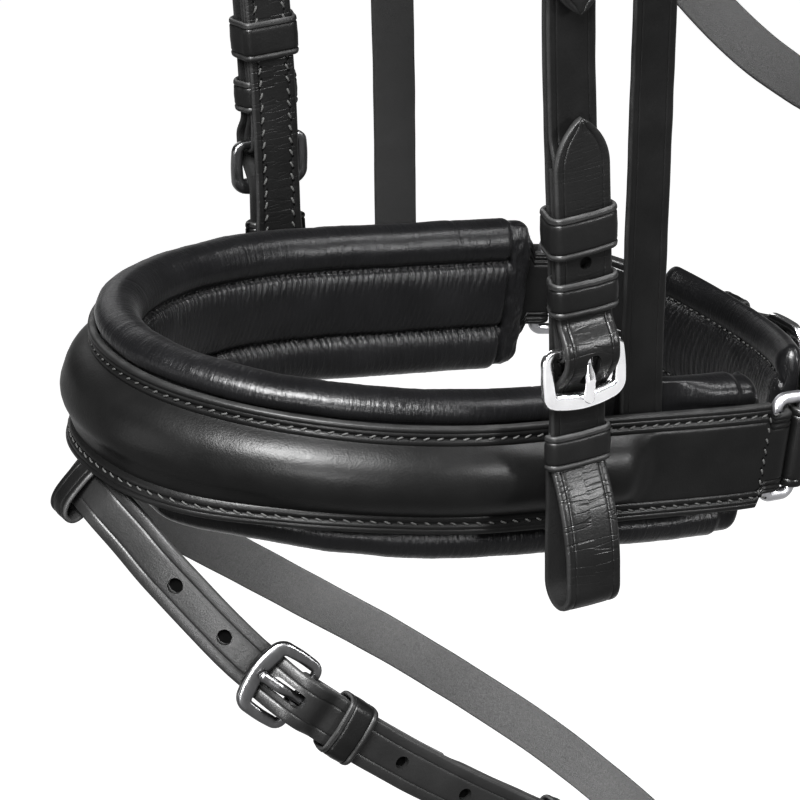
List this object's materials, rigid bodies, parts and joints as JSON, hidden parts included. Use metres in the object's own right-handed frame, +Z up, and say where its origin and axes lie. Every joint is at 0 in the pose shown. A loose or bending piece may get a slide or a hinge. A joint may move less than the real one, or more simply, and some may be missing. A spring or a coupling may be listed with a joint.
{
  "type": "riding bridle",
  "caption": "Snaffle-style riding bridle of flat leather straps with a padded raised noseband, flash strap, browband, throatlatch and metal buckles.",
  "frame": {"origin": "middle of the crown pad's underside, where the bridle rests on the poll", "axes": "+X towards the throat and neck, -X towards the nose; -Y the horse's left (near) side; +Z up"},
  "size_m": [0.235, 0.1858, 0.5986],
  "materials": {
    "strap_leather": "black bridle leather, semi-gloss grain, dark flesh side",
    "noseband_leather": "black raised leather, smooth semi-gloss, stitched margins",
    "soft_leather": "black soft padding leather, gathered, satin",
    "keeper_leather": "black creased leather band, semi-gloss",
    "buckle_metal": "silver coloured, polished with soft wear",
    "ring_metal": "satin grey steel"
  },
  "bodies": {
    "crown": {"crown_strap": "strap_leather", "crown_pad": "soft_leather", "browband": "strap_leather", "browband_pad": "soft_leather"},
    "near_cheek": {"near_crown_billet": "strap_leather", "near_cheekpiece": "strap_leather", "near_bit_billet": "strap_leather", "near_bit_keeper": "keeper_leather", "near_lower_buckle_frame": "buckle_metal", "near_lower_fixed_keeper": "keeper_leather", "near_upper_buckle_frame": "buckle_metal", "near_upper_fixed_keeper": "keeper_leather"},
    "near_lower_tongue": {"near_lower_buckle_tongue": "buckle_metal"},
    "near_upper_tongue": {"near_upper_buckle_tongue": "buckle_metal"},
    "near_lower_runner": {"near_lower_running_keeper": "keeper_leather"},
    "near_upper_runner": {"near_upper_running_keeper": "keeper_leather"},
    "far_cheek": {"far_crown_billet": "strap_leather", "far_cheekpiece": "strap_leather", "far_bit_billet": "strap_leather", "far_bit_keeper": "keeper_leather", "far_lower_buckle_frame": "buckle_metal", "far_lower_fixed_keeper": "keeper_leather", "far_upper_buckle_frame": "buckle_metal", "far_upper_fixed_keeper": "keeper_leather"},
    "far_lower_tongue": {"far_lower_buckle_tongue": "buckle_metal"},
    "far_upper_tongue": {"far_upper_buckle_tongue": "buckle_metal"},
    "far_lower_runner": {"far_lower_running_keeper": "keeper_leather"},
    "far_upper_runner": {"far_upper_running_keeper": "keeper_leather"},
    "noseband": {"noseband_strap": "noseband_leather", "noseband_pad": "soft_leather", "near_crank_ring": "ring_metal", "far_crank_ring": "ring_metal", "chin_strap": "strap_leather", "chin_buckle_chape": "strap_leather", "chin_pad": "soft_leather", "chin_buckle_frame": "buckle_metal", "chin_fixed_keeper": "keeper_leather", "noseband_hanger": "strap_leather", "noseband_hanger_near_cheek": "strap_leather", "hanger_buckle_frame": "buckle_metal", "hanger_fixed_keeper": "keeper_leather"},
    "chin_tongue": {"chin_buckle_tongue": "buckle_metal"},
    "hanger_tongue": {"hanger_buckle_tongue": "buckle_metal"},
    "hanger_runner": {"hanger_running_keeper": "keeper_leather"},
    "flash": {"flash_loop": "keeper_leather", "flash_billet": "strap_leather", "flash_strap": "strap_leather", "flash_buckle_frame": "buckle_metal", "flash_fixed_keeper": "keeper_leather"},
    "flash_tongue": {"flash_buckle_tongue": "buckle_metal"},
    "flash_runner": {"flash_running_keeper": "keeper_leather"},
    "throatlatch": {"throatlatch": "strap_leather", "throatlatch_billet": "strap_leather", "throatlatch_buckle_frame": "buckle_metal", "throatlatch_fixed_keeper": "keeper_leather"},
    "throatlatch_tongue": {"throatlatch_buckle_tongue": "buckle_metal"},
    "throatlatch_runner": {"throatlatch_running_keeper": "keeper_leather"}
  },
  "joints": [
    {"name": "near_cheek_swing", "type": "hinge", "parent": "crown", "child": "near_cheek", "pos_m": [-0.0115, -0.0853, -0.1233], "axis": [-1, 0, 0], "range_deg": [0, 30]},
    {"name": "near_lower_tongue_lift", "type": "hinge", "parent": "near_cheek", "child": "near_lower_tongue", "pos_m": [-0.00516, -0.08182, -0.38002], "axis": [-0.9994, 0, -0.0334], "range_deg": [0, 45]},
    {"name": "near_upper_tongue_lift", "type": "hinge", "parent": "near_cheek", "child": "near_upper_tongue", "pos_m": [-0.0112, -0.0853, -0.24621], "axis": [0.9997, 0, 0.0249], "range_deg": [0, 45]},
    {"name": "near_lower_runner_slide", "type": "slide", "parent": "near_cheek", "child": "near_lower_runner", "axis": [0.0546, 0.0178, -0.9983], "range_m": [-0.012, 0.005]},
    {"name": "near_upper_runner_slide", "type": "slide", "parent": "near_cheek", "child": "near_upper_runner", "axis": [0.0313, 0.0371, -0.9988], "range_m": [-0.005, 0.008]},
    {"name": "far_cheek_swing", "type": "hinge", "parent": "crown", "child": "far_cheek", "pos_m": [-0.0137, 0.0853, -0.1233], "axis": [1, 0, 0], "range_deg": [0, 30]},
    {"name": "far_lower_tongue_lift", "type": "hinge", "parent": "far_cheek", "child": "far_lower_tongue", "pos_m": [-0.00867, 0.08182, -0.38002], "axis": [0.9996, 0, 0.0284], "range_deg": [0, 45]},
    {"name": "far_upper_tongue_lift", "type": "hinge", "parent": "far_cheek", "child": "far_upper_tongue", "pos_m": [-0.01404, 0.0853, -0.24621], "axis": [-0.9998, 0, -0.0199], "range_deg": [0, 45]},
    {"name": "far_lower_runner_slide", "type": "slide", "parent": "far_cheek", "child": "far_lower_runner", "axis": [0.0497, -0.0178, -0.9986], "range_m": [-0.012, 0.005]},
    {"name": "far_upper_runner_slide", "type": "slide", "parent": "far_cheek", "child": "far_upper_runner", "axis": [0.0263, -0.0371, -0.999], "range_m": [-0.005, 0.008]},
    {"name": "noseband_swing", "type": "hinge", "parent": "crown", "child": "noseband", "pos_m": [0, 0, 0.0086], "axis": [0, 1, 0], "range_deg": [-2, 4]},
    {"name": "chin_tongue_lift", "type": "hinge", "parent": "noseband", "child": "chin_tongue", "pos_m": [0.10544, 0.00128, -0.4386], "axis": [0.0001, -0.0025, 1], "range_deg": [0, 45]},
    {"name": "hanger_tongue_lift", "type": "hinge", "parent": "noseband", "child": "hanger_tongue", "pos_m": [0.02067, -0.07199, -0.23626], "axis": [0.996, 0, 0.0889], "range_deg": [0, 45]},
    {"name": "hanger_runner_slide", "type": "slide", "parent": "noseband", "child": "hanger_runner", "axis": [0.0144, 0.0289, -0.9995], "range_m": [-0.005, 0.01]},
    {"name": "flash_swing", "type": "hinge", "parent": "noseband", "child": "flash", "pos_m": [-0.0966, 0, -0.4199], "axis": [0, 1, 0], "range_deg": [0, 25]},
    {"name": "flash_tongue_lift", "type": "hinge", "parent": "flash", "child": "flash_tongue", "pos_m": [-0.06741, -0.04928, -0.47461], "axis": [0.6647, -0.0352, 0.7462], "range_deg": [0, 45]},
    {"name": "flash_runner_slide", "type": "slide", "parent": "flash", "child": "flash_runner", "axis": [0.7412, -0.1782, -0.6472], "range_m": [-0.001, 0.003]},
    {"name": "throatlatch_swing", "type": "hinge", "parent": "crown", "child": "throatlatch", "pos_m": [0.0107, 0, -0.124], "axis": [0, 1, 0], "range_deg": [-20, 2]},
    {"name": "throatlatch_tongue_lift", "type": "hinge", "parent": "throatlatch", "child": "throatlatch_tongue", "pos_m": [0.04824, -0.07969, -0.23809], "axis": [0.8889, 0.0728, 0.4523], "range_deg": [0, 45]},
    {"name": "throatlatch_runner_slide", "type": "slide", "parent": "throatlatch", "child": "throatlatch_runner", "axis": [0.4533, 0.1252, -0.8825], "range_m": [-0.005, 0.008]}
  ]
}
